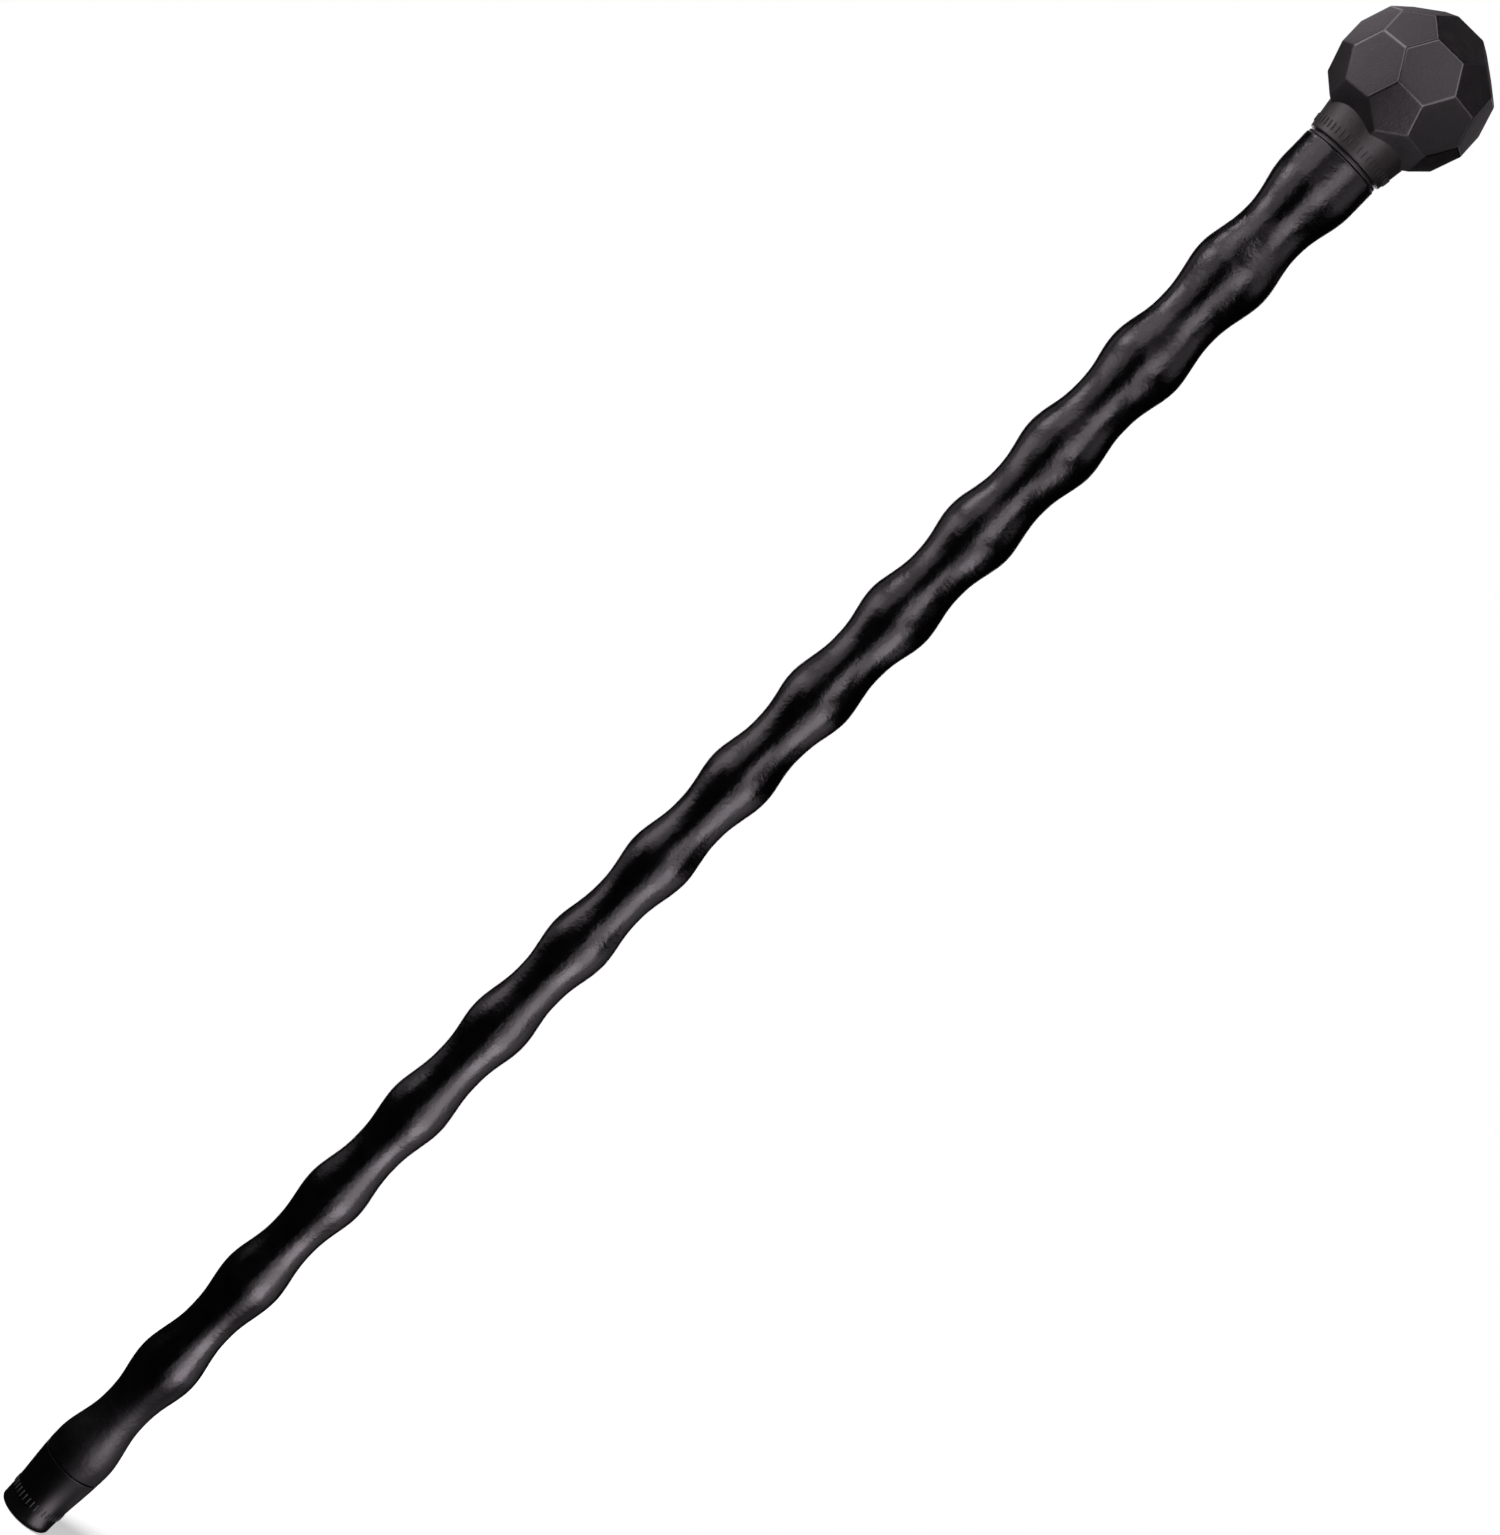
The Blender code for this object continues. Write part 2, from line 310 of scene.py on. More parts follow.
# Shaft insert
# A bush turned from brass bar and knurled, around which the top of the shaft is moulded. It gives the
# head's screw a metal thread to turn in.
KNURLS = 60
POINTS_PER_KNURL = 4
KNURL_DEPTH = 0.00025
INSERT_CHAMFER = 0.0005
KNURL_RING_STEP = 0.0005
WAIST_WIDTH = 0.002
WAIST_DEPTH = 0.0006


def knurled_bush(name, node):
    """A tube with chamfered ends, ribbed lengthwise but for a waist that locks it in the plastic."""
    low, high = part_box(node)
    outer = high.x
    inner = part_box("stud")[1].x + SEAT_GAP
    rings = round((high.z - low.z - 2 * INSERT_CHAMFER) / KNURL_RING_STEP)
    step = (high.z - low.z - 2 * INSERT_CHAMFER) / rings
    middle = (low.z + high.z) / 2
    outline = [(inner + INSERT_CHAMFER, high.z), (outer - INSERT_CHAMFER, high.z)]
    for i in range(rings + 1):
        z = high.z - INSERT_CHAMFER - step * i
        waist = WAIST_DEPTH if abs(z - middle) < WAIST_WIDTH / 2 else 0.0
        outline.append((outer - waist, z))
    outline += [(outer - INSERT_CHAMFER, low.z), (inner + INSERT_CHAMFER, low.z)]
    outline += [(inner, low.z + INSERT_CHAMFER), (inner, high.z - INSERT_CHAMFER)]
    bush = turned(name, outline, POINTS_PER_KNURL * KNURLS)
    for index, vertex in enumerate(bush.data.vertices):
        radius = math.hypot(vertex.co.x, vertex.co.y)
        in_groove = index % POINTS_PER_KNURL >= POINTS_PER_KNURL / 2
        if radius > outer - WAIST_DEPTH / 2 and in_groove:
            vertex.co.x *= 1 - KNURL_DEPTH / radius
            vertex.co.y *= 1 - KNURL_DEPTH / radius
    return bush


# Brass, turned and left bare: a warm yellow metal, with the fine rings of the lathe tool, 0.3 mm apart,
# and a faint tarnish in patches of 2 mm
turned_brass, tree, shader = new_material("turned_brass")
place = add_node(tree, "ShaderNodeTexCoord").outputs["Object"]
tool_rings = add_node(
    tree,
    "ShaderNodeTexWave",
    {"Vector": place, "Scale": per_mm(0.3) / math.tau, "Distortion": 0.4},
    wave_type="RINGS",
    rings_direction="Z",
)
tarnish = add_node(tree, "ShaderNodeTexNoise", {"Vector": place, "Scale": per_mm(2), "Detail": 3.0})
tone = add_node(tree, "ShaderNodeValToRGB", {"Fac": tarnish.outputs["Fac"]})
tone.color_ramp.elements[0].color = linear("#b8924a")
tone.color_ramp.elements[1].color = linear("#dcc07a")
gloss = add_node(
    tree,
    "ShaderNodeMapRange",
    {"Value": tool_rings.outputs["Fac"], "To Min": 0.24, "To Max": 0.36},
)
tree.links.new(tone.outputs["Color"], shader.inputs["Base Color"])
tree.links.new(gloss.outputs["Result"], shader.inputs["Roughness"])
shader.inputs["Metallic"].default_value = 1.0

shaft_bush = knurled_bush("shaft_bush", "shaft_insert")
shaft_bush.data.materials.append(turned_brass)
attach(shaft_bush, "shaft")
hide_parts("shaft_insert")

# Foot
# A cup of black rubber, moulded in one piece and pushed over the spigot, where its grip alone holds it.
# Its wall carries on the line of the lowest bead, a ring of short ribs gives the fingers a hold, and the
# tread has two grooves.
RIM_ROUNDING = 0.0001
FOOT_FLOOR = 0.008
TREAD_GROOVES = 2
TREAD_DEPTH = 0.001
TREAD_WIDTH = 0.0012
FOOT_SIDES = 120
FOOT_RIBS = 36
FOOT_RIB_Z = 0.0106
RIB_LENGTH = 0.0038
RIB_WIDTH = 0.0006
RIB_RISE = 0.00035
RIB_EDGE = 0.6 * RIB_RISE


def foot_outline():
    """From the middle of the cup's floor up its wall, over the rim, down its outside, and the tread."""
    bore = SPIGOT_RADIUS + SEAT_GAP
    rim = foot_radius(foot_top)
    cup = [(0.0, FOOT_FLOOR), (bore, FOOT_FLOOR), (bore, foot_top)]
    lip = quarter_round(rim - RIM_ROUNDING, foot_top - RIM_ROUNDING, RIM_ROUNDING, math.pi / 2)
    rings = round((foot_top - RIM_ROUNDING - FOOT_ROUNDING) / RING_STEP)
    step = (foot_top - RIM_ROUNDING - FOOT_ROUNDING) / rings
    heights = [foot_top - RIM_ROUNDING - step * i for i in range(1, rings)]
    wall = [(foot_radius(z), z) for z in heights]
    flat = FOOT_RADIUS - FOOT_ROUNDING
    edge = quarter_round(flat, FOOT_ROUNDING, FOOT_ROUNDING, 0.0)
    land = (flat - TREAD_GROOVES * TREAD_WIDTH) / (TREAD_GROOVES + 1)
    tread = []
    radius = flat
    for _ in range(TREAD_GROOVES):
        radius -= land
        tread += [(radius, 0.0), (radius, TREAD_DEPTH)]
        radius -= TREAD_WIDTH
        tread += [(radius, TREAD_DEPTH), (radius, 0.0)]
    return cup + lip + wall + edge + tread + [(0.0, 0.0)]


def ring_of_ribs(name, count, radius, z, lean):
    """Short upright ribs with soft edges, evenly round a wall of this radius that leans out."""
    shape = bmesh.new()
    for i in range(count):
        rib = bmesh.ops.create_cube(shape, size=1.0)["verts"]
        bmesh.ops.scale(shape, vec=(2 * RIB_RISE, RIB_WIDTH, RIB_LENGTH), verts=rib)
        place = Matrix.Rotation(math.tau * i / count, 4, "Z") @ Matrix.Translation((radius, 0.0, z))
        bmesh.ops.transform(shape, matrix=place @ Matrix.Rotation(lean, 4, "Y"), verts=rib)
    mesh = bpy.data.meshes.new(name)
    shape.to_mesh(mesh)
    shape.free()
    mesh.shade_smooth()
    ribs = bpy.data.objects.new(name, mesh)
    bpy.context.scene.collection.objects.link(ribs)
    edges = ribs.modifiers.new("Soft edges", "BEVEL")
    edges.width = RIB_EDGE
    edges.segments = 2
    return ribs


# Rubber from a blasted mould: a dull black that scatters the light it mirrors, with an even grain, drawn
# 0.35 mm wide because the real one is too fine to show, and grey dust in patches of 4 mm near the ground
DUST_TOP = 0.012
PORE_DEPTH = 0.00003

moulded_rubber, tree, shader = new_material("moulded_rubber")
place = add_node(tree, "ShaderNodeTexCoord").outputs["Object"]
height = add_node(tree, "ShaderNodeSeparateXYZ", {"Vector": place}).outputs["Z"]
dust = add_node(
    tree,
    "ShaderNodeMapRange",
    {"Value": height, "From Min": 0.0, "From Max": DUST_TOP, "To Min": 1.0, "To Max": 0.0},
)
patches = add_node(
    tree,
    "ShaderNodeTexNoise",
    {"Vector": place, "Scale": per_mm(4), "Detail": 5.0, "Roughness": 0.65},
)
dusty = add_node(
    tree,
    "ShaderNodeMath",
    {0: dust.outputs["Result"], 1: patches.outputs["Fac"]},
    operation="MULTIPLY",
)
tone = add_node(tree, "ShaderNodeValToRGB", {"Fac": dusty.outputs["Value"]})
tone.color_ramp.elements[0].color = linear("#040404")
tone.color_ramp.elements[1].color = linear("#141313")
pores = add_node(tree, "ShaderNodeTexNoise", {"Vector": place, "Scale": per_mm(0.35), "Detail": 2.0})
grain = add_node(
    tree,
    "ShaderNodeBump",
    {"Height": pores.outputs["Fac"], "Strength": 0.5, "Distance": PORE_DEPTH},
)
gloss = add_node(
    tree,
    "ShaderNodeMapRange",
    {"Value": patches.outputs["Fac"], "To Min": 0.3, "To Max": 0.4},
)
tree.links.new(tone.outputs["Color"], shader.inputs["Base Color"])
tree.links.new(gloss.outputs["Result"], shader.inputs["Roughness"])
tree.links.new(grain.outputs["Normal"], shader.inputs["Normal"])
shader.inputs["IOR"].default_value = 1.52

# The same rubber on the ribs, which hands and grit have rubbed grey and smooth, in patches of 1.5 mm
rubbed_rubber, tree, shader = new_material("rubbed_rubber")
place = add_node(tree, "ShaderNodeTexCoord").outputs["Object"]
rubbing = add_node(tree, "ShaderNodeTexNoise", {"Vector": place, "Scale": per_mm(1.5), "Detail": 3.0})
tone = add_node(tree, "ShaderNodeValToRGB", {"Fac": rubbing.outputs["Fac"]})
tone.color_ramp.elements[0].color = linear("#383634")
tone.color_ramp.elements[1].color = linear("#565350")
gloss = add_node(
    tree,
    "ShaderNodeMapRange",
    {"Value": rubbing.outputs["Fac"], "To Min": 0.22, "To Max": 0.34},
)
tree.links.new(tone.outputs["Color"], shader.inputs["Base Color"])
tree.links.new(gloss.outputs["Result"], shader.inputs["Roughness"])
shader.inputs["IOR"].default_value = 1.52

foot = turned("rubber_foot", foot_outline(), FOOT_SIDES)
foot_ribs = ring_of_ribs("foot_ribs", FOOT_RIBS, foot_radius(FOOT_RIB_Z), FOOT_RIB_Z, 0.0)
foot.data.materials.append(moulded_rubber)
foot_ribs.data.materials.append(rubbed_rubber)
for piece in (foot, foot_ribs):
    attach(piece, "ferrule")
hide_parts("ferrule")

# Foot washer
# A disc blanked from sheet steel and zinc plated, loose in the bottom of the cup. It keeps the end of
# the spigot from punching through the rubber.
DISC_EDGE = 0.0003


def washer_outline():
    low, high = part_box("ferrule_washer")
    rolled = quarter_round(high.x - DISC_EDGE, high.z - DISC_EDGE, DISC_EDGE, math.pi / 2)
    return [(0.0, high.z)] + rolled + [(high.x, low.z), (0.0, low.z)]


# Bright zinc plate: a cool grey metal, clouded in patches of 3 mm by the plating bath
zinc_plate, tree, shader = new_material("zinc_plate")
place = add_node(tree, "ShaderNodeTexCoord").outputs["Object"]
bloom = add_node(tree, "ShaderNodeTexNoise", {"Vector": place, "Scale": per_mm(3), "Detail": 4.0})
tone = add_node(tree, "ShaderNodeValToRGB", {"Fac": bloom.outputs["Fac"]})
tone.color_ramp.elements[0].color = linear("#a9adb2")
tone.color_ramp.elements[1].color = linear("#c9ccd0")
gloss = add_node(
    tree,
    "ShaderNodeMapRange",
    {"Value": bloom.outputs["Fac"], "To Min": 0.22, "To Max": 0.38},
)
tree.links.new(tone.outputs["Color"], shader.inputs["Base Color"])
tree.links.new(gloss.outputs["Result"], shader.inputs["Roughness"])
shader.inputs["Metallic"].default_value = 1.0

washer = turned("foot_washer", washer_outline(), FOOT_SIDES)
washer.data.materials.append(zinc_plate)
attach(washer, "ferrule")
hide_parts("ferrule_washer")

# Neck ring
# A thin washer moulded in black nylon, kept in the middle by the screw. It takes the wear between the
# head and the shaft, and shows as a narrow band between two dark lines. The upper one is a relief.
RING_ROUNDING = 0.0002
RING_RELIEF_DEPTH = 0.0016
RING_RELIEF_HEIGHT = 0.0009
RING_SIDES = 144


def ring_outline():
    low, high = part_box("neck_ring")
    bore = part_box("stud")[1].x + SEAT_GAP
    band_top = high.z - RING_RELIEF_HEIGHT
    step = [(high.x - RING_RELIEF_DEPTH, high.z), (high.x - RING_RELIEF_DEPTH, band_top)]
    centre = high.x - RING_ROUNDING
    upper = quarter_round(centre, band_top - RING_ROUNDING, RING_ROUNDING, math.pi / 2)
    lower = quarter_round(centre, low.z + RING_ROUNDING, RING_ROUNDING, 0.0)
    return [(bore, high.z)] + step + upper + lower + [(bore, low.z)]


# Nylon from a plain mould: a touch warmer and duller than the shaft, with a faint grain, drawn 0.5 mm
# wide because the real one is too fine to show
NYLON_GRAIN_DEPTH = 0.00003

moulded_nylon, tree, shader = new_material("moulded_nylon")
place = add_node(tree, "ShaderNodeTexCoord").outputs["Object"]
grains = add_node(tree, "ShaderNodeTexNoise", {"Vector": place, "Scale": per_mm(0.5), "Detail": 3.0})
tone = add_node(tree, "ShaderNodeValToRGB", {"Fac": grains.outputs["Fac"]})
tone.color_ramp.elements[0].color = linear("#121212")
tone.color_ramp.elements[1].color = linear("#1c1b1c")
grain = add_node(
    tree,
    "ShaderNodeBump",
    {"Height": grains.outputs["Fac"], "Strength": 0.4, "Distance": NYLON_GRAIN_DEPTH},
)
tree.links.new(tone.outputs["Color"], shader.inputs["Base Color"])
tree.links.new(grain.outputs["Normal"], shader.inputs["Normal"])
shader.inputs["Roughness"].default_value = 0.45
shader.inputs["IOR"].default_value = 1.53

ring = turned("nylon_ring", ring_outline(), RING_SIDES)
ring.data.materials.append(moulded_nylon)
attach(ring, "neck_ring")
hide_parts("neck_ring")

# Head
# A ball of flat pentagons and hexagons in black polypropylene, moulded in one with the flared collar
# under it. It is matt from the mould's eroded face, and its edges are worn to fine ridges that catch the
# light.
KNOB_RADIUS = 0.0376
KNOB_RISE = 0.0415
KNOB_TURN = math.radians(20.3)
CORNER_CUT_PERCENT = 100 / 3
RIDGE_WIDTH = 0.0007
RIDGE_STEPS = 2
ROUND_PROFILE = 0.5
HEAD_SHARP_ANGLE = math.radians(30)
HAND_REACH = 0.016
UNRUBBED_SIDE = Vector((-0.837, -0.305, -0.454))
UNRUBBED_SPREAD = math.radians(24)
MATT = 0
RUBBED = 1
DULL = 2
LEVEL_FACET = 0.99
FACET_CROWN = 0.0003
CROWN_RINGS = 5
CROWN_STEP = 0.0018
COLLAR_RADIUS = 0.0207
COLLAR_FLARE = math.radians(8.4)
COLLAR_EDGE = 0.0008
COLLAR_RIBS = 48
COLLAR_RIB_RISE = 0.0045

collar_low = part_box("knob")[0].z
knob_middle = collar_low + KNOB_RISE
bush_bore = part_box("knob_insert")[1].x + SEAT_GAP
bush_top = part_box("knob_insert")[1].z + SEAT_GAP


def faceted_ball():
    """An icosahedron with its corners cut off a third of the way along each edge and its edges bevelled.
    Each facet but the top one is crowned by a hair, ring after ring. The ridges close to the collar and
    round one low facet, where no hand rubs them, keep the matt finish."""
    ball = bmesh.new()
    bmesh.ops.create_icosphere(ball, subdivisions=1, radius=1.0)
    bmesh.ops.bevel(
        ball,
        geom=ball.verts[:],
        offset=CORNER_CUT_PERCENT,
        offset_type="PERCENT",
        segments=1,
        affect="VERTICES",
    )
    size = KNOB_RADIUS / max(vertex.co.length for vertex in ball.verts)
    turn = Matrix.Rotation(KNOB_TURN, 4, "Z")
    place = Matrix.Translation((0.0, 0.0, knob_middle)) @ turn @ Matrix.Scale(size, 4)
    bmesh.ops.transform(ball, matrix=place, verts=ball.verts[:])
    bmesh.ops.bevel(
        ball,
        geom=ball.edges[:],
        offset=RIDGE_WIDTH,
        segments=RIDGE_STEPS,
        profile=ROUND_PROFILE,
        affect="EDGES",
        material=RUBBED,
    )
    facets = [face for face in ball.faces if face.material_index == MATT and face.normal.z < LEVEL_FACET]
    reach = CROWN_STEP * (CROWN_RINGS + 1)
    for i in range(CROWN_RINGS):
        outer = 1 - i * CROWN_STEP / reach
        inner = 1 - (i + 1) * CROWN_STEP / reach
        rise = FACET_CROWN * (outer * outer - inner * inner)
        bmesh.ops.inset_individual(ball, faces=facets, thickness=CROWN_STEP, depth=rise)
    for face in ball.faces:
        side = face.calc_center_median() - Vector((0.0, 0.0, knob_middle))
        if side.z < -HAND_REACH or side.angle(UNRUBBED_SIDE) < UNRUBBED_SPREAD:
            face.material_index = MATT
    mesh = bpy.data.meshes.new("faceted_head")
    ball.to_mesh(mesh)
    ball.free()
    head = bpy.data.objects.new("faceted_head", mesh)
    bpy.context.scene.collection.objects.link(head)
    return head


def collar_outline():
    """The flared collar, carried on up inside the ball to its middle."""
    top_radius = COLLAR_RADIUS + KNOB_RISE * math.tan(COLLAR_FLARE)
    edge = quarter_round(COLLAR_RADIUS - COLLAR_EDGE, collar_low + COLLAR_EDGE, COLLAR_EDGE, 0.0)
    return [(0.0, knob_middle), (top_radius, knob_middle)] + edge + [(0.0, collar_low)]


def combine(obj, tool, operation):
    """Joins the tool's shape to this object, or cuts it out, and removes the tool."""
    boolean = obj.modifiers.new(tool.name, "BOOLEAN")
    boolean.operation = operation
    boolean.object = tool
    boolean.solver = "EXACT"
    mesh = bpy.data.meshes.new_from_object(obj.evaluated_get(bpy.context.evaluated_depsgraph_get()))
    obj.modifiers.clear()
    obj.data = mesh
    bpy.data.objects.remove(tool)


# Polypropylene from a spark-eroded mould: charcoal black and matt, with close even pits, drawn 0.9 mm
# wide because the real ones are too fine to show, and clouded in patches of 5 mm
PIT_DEPTH = 0.0002

matt_polypropylene, tree, shader = new_material("matt_polypropylene")
place = add_node(tree, "ShaderNodeTexCoord").outputs["Object"]
pits = add_node(tree, "ShaderNodeTexNoise", {"Vector": place, "Scale": per_mm(0.9), "Detail": 3.0})
clouds = add_node(tree, "ShaderNodeTexNoise", {"Vector": place, "Scale": per_mm(5), "Detail": 5.0})
mottle = add_node(
    tree,
    "ShaderNodeMix",
    {"Factor": 0.5, "A": pits.outputs["Fac"], "B": clouds.outputs["Fac"]},
)
tone = add_node(tree, "ShaderNodeValToRGB", {"Fac": mottle.outputs["Result"]})
tone.color_ramp.elements[0].position = 0.35
tone.color_ramp.elements[0].color = linear("#121112")
tone.color_ramp.elements[1].position = 0.65
tone.color_ramp.elements[1].color = linear("#211f20")
grain = add_node(
    tree,
    "ShaderNodeBump",
    {"Height": mottle.outputs["Result"], "Strength": 1.0, "Distance": PIT_DEPTH},
)
gloss = add_node(
    tree,
    "ShaderNodeMapRange",
    {"Value": clouds.outputs["Fac"], "To Min": 0.36, "To Max": 0.48},
)
tree.links.new(tone.outputs["Color"], shader.inputs["Base Color"])
tree.links.new(gloss.outputs["Result"], shader.inputs["Roughness"])
tree.links.new(grain.outputs["Normal"], shader.inputs["Normal"])
shader.inputs["IOR"].default_value = 1.49

# The same polypropylene on the ridges, where hands have rubbed the pits away: it mirrors more sharply,
# in patches of 3 mm
rubbed_polypropylene, tree, shader = new_material("rubbed_polypropylene")
place = add_node(tree, "ShaderNodeTexCoord").outputs["Object"]
rubbing = add_node(tree, "ShaderNodeTexNoise", {"Vector": place, "Scale": per_mm(3), "Detail": 4.0})
tone = add_node(tree, "ShaderNodeValToRGB", {"Fac": rubbing.outputs["Fac"]})
tone.color_ramp.elements[0].color = linear("#161517")
tone.color_ramp.elements[1].color = linear("#252426")
gloss = add_node(
    tree,
    "ShaderNodeMapRange",
    {"Value": rubbing.outputs["Fac"], "To Min": 0.18, "To Max": 0.28},
)
tree.links.new(tone.outputs["Color"], shader.inputs["Base Color"])
tree.links.new(gloss.outputs["Result"], shader.inputs["Roughness"])
shader.inputs["IOR"].default_value = 1.49
shader.inputs["Specular IOR Level"].default_value = 1.0

# And on the collar, which no hand polishes: a warmer, duller grey, mottled in spots of 1.5 mm
SPOT_DEPTH = 0.00006

dull_polypropylene, tree, shader = new_material("dull_polypropylene")
place = add_node(tree, "ShaderNodeTexCoord").outputs["Object"]
spots = add_node(
    tree,
    "ShaderNodeTexNoise",
    {"Vector": place, "Scale": per_mm(1.5), "Detail": 4.0, "Roughness": 0.65},
)
tone = add_node(tree, "ShaderNodeValToRGB", {"Fac": spots.outputs["Fac"]})
tone.color_ramp.elements[0].position = 0.35
tone.color_ramp.elements[0].color = linear("#222120")
tone.color_ramp.elements[1].position = 0.65
tone.color_ramp.elements[1].color = linear("#32302d")
grain = add_node(
    tree,
    "ShaderNodeBump",
    {"Height": spots.outputs["Fac"], "Strength": 0.7, "Distance": SPOT_DEPTH},
)
tree.links.new(tone.outputs["Color"], shader.inputs["Base Color"])
tree.links.new(grain.outputs["Normal"], shader.inputs["Normal"])
shader.inputs["Roughness"].default_value = 0.43
shader.inputs["IOR"].default_value = 1.49

head = faceted_ball()
collar = turned("collar", collar_outline(), SHAFT_SIDES)
for piece in (head, collar):
    for finish in (matt_polypropylene, rubbed_polypropylene, dull_polypropylene):
        piece.data.materials.append(finish)
for face in collar.data.polygons:
    face.material_index = DULL
combine(head, collar, "UNION")
bore_end = collar_low - COLLAR_EDGE
bore_outline = [(0.0, bush_top), (bush_bore, bush_top), (bush_bore, bore_end), (0.0, bore_end)]
combine(head, turned("bush_bore", bore_outline, SHAFT_SIDES), "DIFFERENCE")
head.data.shade_smooth()
head.data.set_sharp_from_angle(angle=HEAD_SHARP_ANGLE)
head.modifiers.new("Flat facets", "WEIGHTED_NORMAL").keep_sharp = True
rib_z = collar_low + COLLAR_RIB_RISE
rib_radius = COLLAR_RADIUS + COLLAR_RIB_RISE * math.tan(COLLAR_FLARE)
collar_ribs = ring_of_ribs("collar_ribs", COLLAR_RIBS, rib_radius, rib_z, COLLAR_FLARE)
collar_ribs.data.materials.append(dull_polypropylene)
for piece in (head, collar_ribs):
    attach(piece, "knob")
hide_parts("knob")

# Head insert
# The same knurled brass bush as in the shaft, but longer. The head is moulded around it, and the screw
# is locked in it for good.
head_bush = knurled_bush("head_bush", "knob_insert")
head_bush.data.materials.append(turned_brass)
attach(head_bush, "knob")
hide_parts("knob_insert")

# Screw
# A stud of rolled M12 thread, zinc plated, that holds the head on the shaft. Eight turns of it sit in
# the shaft's bush.
THREAD_PITCH = 0.00175
THREAD_DEPTH = 0.00095
THREAD_FLAT = 0.1
THREAD_SIDES = 72
STEPS_PER_PITCH = 12
STUD_CHAMFER = 0.001


def threaded_stud():
    """A cylinder whose wall rises and falls as a right-hand thread, with chamfered ends."""
    low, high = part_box("stud")
    rings = round((high.z - low.z) / THREAD_PITCH * STEPS_PER_PITCH)
    step = (high.z - low.z) / rings
    outline = [(0.0, high.z)]
    outline += [(high.x, high.z - step * i) for i in range(rings + 1)]
    outline.append((0.0, low.z))
    stud = turned("threaded_stud", outline, THREAD_SIDES)
    for vertex in stud.data.vertices:
        x, y, z = vertex.co
        if math.hypot(x, y) > 0:
            turn = (z - low.z) / THREAD_PITCH - math.atan2(y, x) / math.tau
            away = abs(2 * (turn % 1.0) - 1)
            cut = THREAD_DEPTH * min(1.0, max(0.0, (away - THREAD_FLAT) / (1 - 2 * THREAD_FLAT)))
            chamfer = max(0.0, STUD_CHAMFER - (z - low.z), STUD_CHAMFER - (high.z - z))
            radius = high.x - max(cut, chamfer)
            vertex.co.x *= radius / high.x
            vertex.co.y *= radius / high.x
    return stud


stud = threaded_stud()
stud.data.materials.append(zinc_plate)
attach(stud, "knob")
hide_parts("stud")

# Floor
# Plain white paper. Only close to the foot is it lit, so that it takes the stick's soft shadow, and
# further out it is even white. In the gloss of the stick it shows as the dim floor of a dark studio.
FLOOR_SIZE = 12.0
FLOOR_GAP = 0.0002
FLOOR_GLOW = 0.55
SHADOW_NEAR = 0.25
SHADOW_FAR = 0.7
GLOSS_SHARE = 0.004

white_paper, tree, shader = new_material("white_paper")
tree.nodes.remove(shader)
output = tree.nodes["Material Output"]
place = add_node(tree, "ShaderNodeTexCoord").outputs["Object"]
reach = add_node(tree, "ShaderNodeVectorMath", {0: place}, operation="LENGTH").outputs["Value"]
fade = add_node(
    tree,
    "ShaderNodeMapRange",
    {"Value": reach, "From Min": SHADOW_NEAR, "From Max": SHADOW_FAR},
    interpolation_type="SMOOTHSTEP",
)
lit = add_node(tree, "ShaderNodeBsdfDiffuse", {"Color": linear("#e8e8e8")})
glow = add_node(tree, "ShaderNodeEmission", {"Color": linear("#ffffff"), "Strength": FLOOR_GLOW})
near = add_node(tree, "ShaderNodeAddShader", {0: lit.outputs["BSDF"], 1: glow.outputs["Emission"]})
white = add_node(tree, "ShaderNodeEmission", {"Color": linear("#ffffff"), "Strength": 1.0})
seen = add_node(
    tree,
    "ShaderNodeMixShader",
    {"Fac": fade.outputs["Result"], 1: near.outputs["Shader"], 2: white.outputs["Emission"]},
)
dim = add_node(tree, "ShaderNodeEmission", {"Color": linear("#ffffff"), "Strength": GLOSS_SHARE})
path = add_node(tree, "ShaderNodeLightPath")
direct = add_node(
    tree,
    "ShaderNodeMath",
    {0: path.outputs["Is Camera Ray"], 1: path.outputs["Is Transmission Ray"]},
    operation="MAXIMUM",
)
surface = add_node(
    tree,
    "ShaderNodeMixShader",
    {"Fac": direct.outputs["Value"], 1: dim.outputs["Emission"], 2: seen.outputs["Shader"]},
)
tree.links.new(surface.outputs["Shader"], output.inputs["Surface"])

bpy.ops.mesh.primitive_plane_add(size=FLOOR_SIZE, location=(0.0, 0.0, -FLOOR_GAP))
floor = bpy.context.object
floor.name = "floor"
floor.data.materials.append(white_paper)

# Surroundings
# Plain walls on all sides, white where the camera sees them, like the floor. In the gloss of the stick
# they show as the dim walls of a dark studio.
world = bpy.data.worlds.new("studio")
bpy.context.scene.world = world
world.use_nodes = True
tree = world.node_tree
path = add_node(tree, "ShaderNodeLightPath")
direct = add_node(
    tree,
    "ShaderNodeMath",
    {0: path.outputs["Is Camera Ray"], 1: path.outputs["Is Transmission Ray"]},
    operation="MAXIMUM",
)
level = add_node(
    tree,
    "ShaderNodeMapRange",
    {"Value": direct.outputs["Value"], "To Min": GLOSS_SHARE, "To Max": 1.0},
)
background = tree.nodes["Background"]
background.inputs["Color"].default_value = linear("#ffffff")
tree.links.new(level.outputs["Result"], background.inputs["Strength"])

# Lamp
# One broad soft lamp, high in front on the left. It lights the floor, throws the soft shadow, and models
# the facets of the head.
LAMP_SIDE = math.radians(-55)
LAMP_HEIGHT = math.radians(42)
LAMP_SPREAD = math.radians(24)
LAMP_STRENGTH = 3.0

